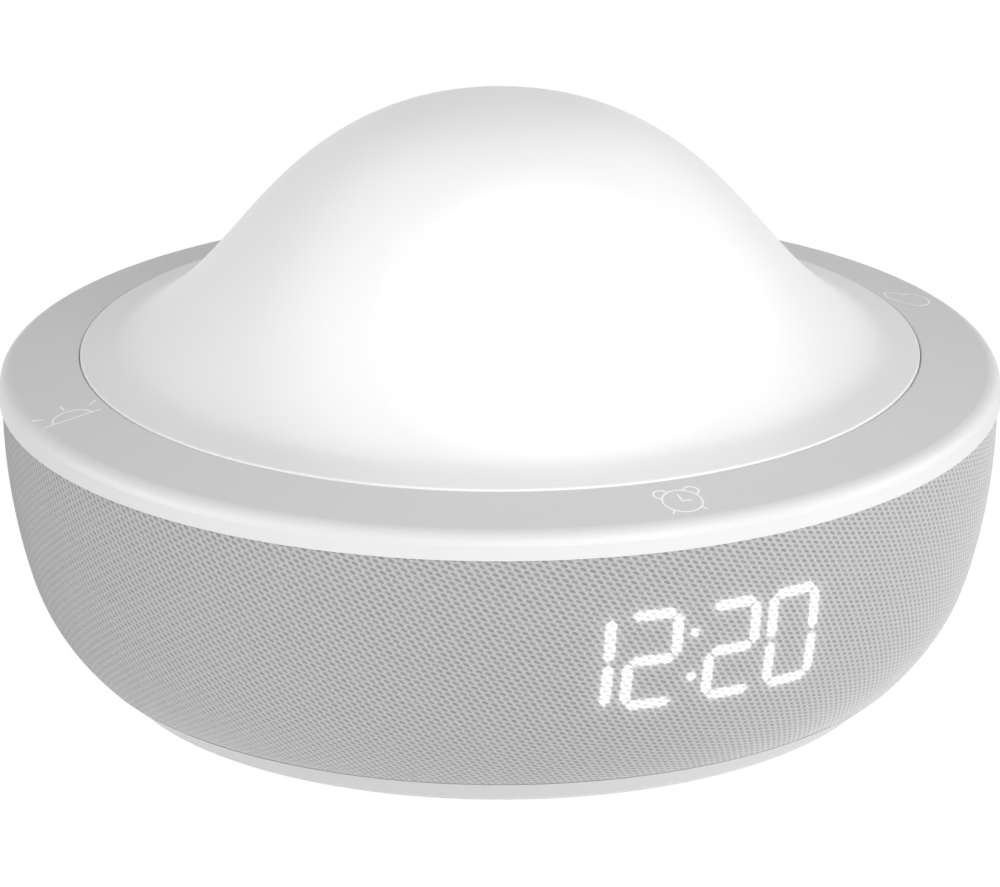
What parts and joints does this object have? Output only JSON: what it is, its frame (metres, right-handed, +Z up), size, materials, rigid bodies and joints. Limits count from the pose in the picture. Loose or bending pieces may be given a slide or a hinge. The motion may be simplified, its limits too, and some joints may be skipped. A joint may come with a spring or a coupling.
{
  "type": "sunrise alarm clock",
  "caption": "Round bedside sunrise alarm clock: fabric-covered bowl on a bevelled base, sloping touch ring, opal light dome that presses down, and a display that glows through the fabric.",
  "frame": {"origin": "on the table under the middle of the clock", "axes": "+Z up along the axis of the bowl; the display looks along -Y, the sunrise mark is at -X"},
  "size_m": [0.1856, 0.1856, 0.1091],
  "materials": {
    "base_white": "satin moulded white",
    "door_white": "satin",
    "rubber_dark": "matt",
    "screw_steel": "zinc plated",
    "cell_steel": "nickel",
    "holder_black": "matt",
    "shell_grey": "matt",
    "sleeve_knit": "open knit, light grey",
    "cover_white": "satin, fine grain",
    "mark_pale": "printed in pale ink",
    "board_green": "solder mask",
    "foam_black": "conductive foam",
    "switch_black": "matt",
    "plunger_white": "matt",
    "silicone_clear": "translucent",
    "dome_opal": "opal, lets light through",
    "chassis_white": "matt",
    "light_board_white": "white solder mask on aluminium",
    "lamp_yellow": "phosphor",
    "tray_white": "gloss white",
    "chip_black": "moulded",
    "can_aluminium": "drawn can",
    "socket_white": "nylon",
    "housing_white": "matt",
    "digit_light": "light guide",
    "well_white": "satin",
    "jack_black": "moulded",
    "pin_brass": "plated",
    "baffle_black": "matt",
    "basket_steel": "zinc",
    "magnet_grey": "ferrite",
    "cone_paper": "pressed pulp",
    "coil_copper": "wound copper",
    "surround_rubber": "soft",
    "spider_cloth": "treated cloth",
    "lead_black": "soft sheath"
  },
  "bodies": {
    "body": {"base_pan": "base_white", "rubber_feet": "rubber_dark", "base_screws": "screw_steel", "chassis_screws": "screw_steel", "light_board_screws": "screw_steel", "main_board_screws": "screw_steel", "display_screws": "screw_steel", "speaker_screws": "screw_steel", "backup_cell": "cell_steel", "cell_holder": "holder_black", "body_shell": "shell_grey", "fabric_sleeve": "sleeve_knit", "touch_cover": "cover_white", "alarm_mark": "mark_pale", "sunrise_mark": "mark_pale", "heart_mark": "mark_pale", "moon_mark": "mark_pale", "touch_board": "board_green", "main_board": "board_green", "display_board": "board_green", "touch_pads": "foam_black", "switch_bodies": "switch_black", "return_pads": "silicone_clear", "chassis_plate": "chassis_white", "light_board": "light_board_white", "sunrise_leds": "lamp_yellow", "reflector_tray": "tray_white", "board_chips": "chip_black", "board_capacitors": "can_aluminium", "board_sockets": "socket_white", "display_housing": "housing_white", "display_digit_1": "digit_light", "display_digit_2": "digit_light", "display_digit_3": "digit_light", "display_digit_4": "digit_light", "display_colon": "digit_light", "inlet_well": "well_white", "inlet_jack": "jack_black", "inlet_pin": "pin_brass", "speaker_baffle": "baffle_black", "speaker_chamber": "baffle_black", "sound_deflector": "baffle_black", "speaker_basket": "basket_steel", "speaker_top_plate": "basket_steel", "speaker_yoke": "basket_steel", "speaker_magnet": "magnet_grey", "speaker_surround": "surround_rubber", "chamber_gasket": "surround_rubber", "speaker_spider": "spider_cloth", "power_lead": "lead_black", "speaker_lead": "lead_black", "display_lead": "lead_black", "light_lead": "lead_black"},
    "dome": {"dome_diffuser": "dome_opal", "switch_plungers": "plunger_white"},
    "cone": {"speaker_cone": "cone_paper", "speaker_dust_cap": "cone_paper", "speaker_coil": "coil_copper"},
    "cell_door": {"battery_door": "door_white"}
  },
  "joints": [
    {"name": "dome_press", "type": "slide", "parent": "body", "child": "dome", "axis": [0, 0, -1], "range_m": [0, 0.001], "stiffness_N_per_m": 1500, "springref_m": -0.0005, "deforming": ["return_pads"]},
    {"name": "cone_stroke", "type": "slide", "parent": "body", "child": "cone", "axis": [0, 0, -1], "range_m": [-0.0015, 0.0015], "stiffness_N_per_m": 900, "deforming": ["speaker_surround", "speaker_spider"]},
    {"name": "cell_door_twist", "type": "hinge", "parent": "body", "child": "cell_door", "pos_m": [-0.03253, 0.03253, 0.002], "axis": [0, 0, 1], "range_deg": [0, 45]}
  ]
}
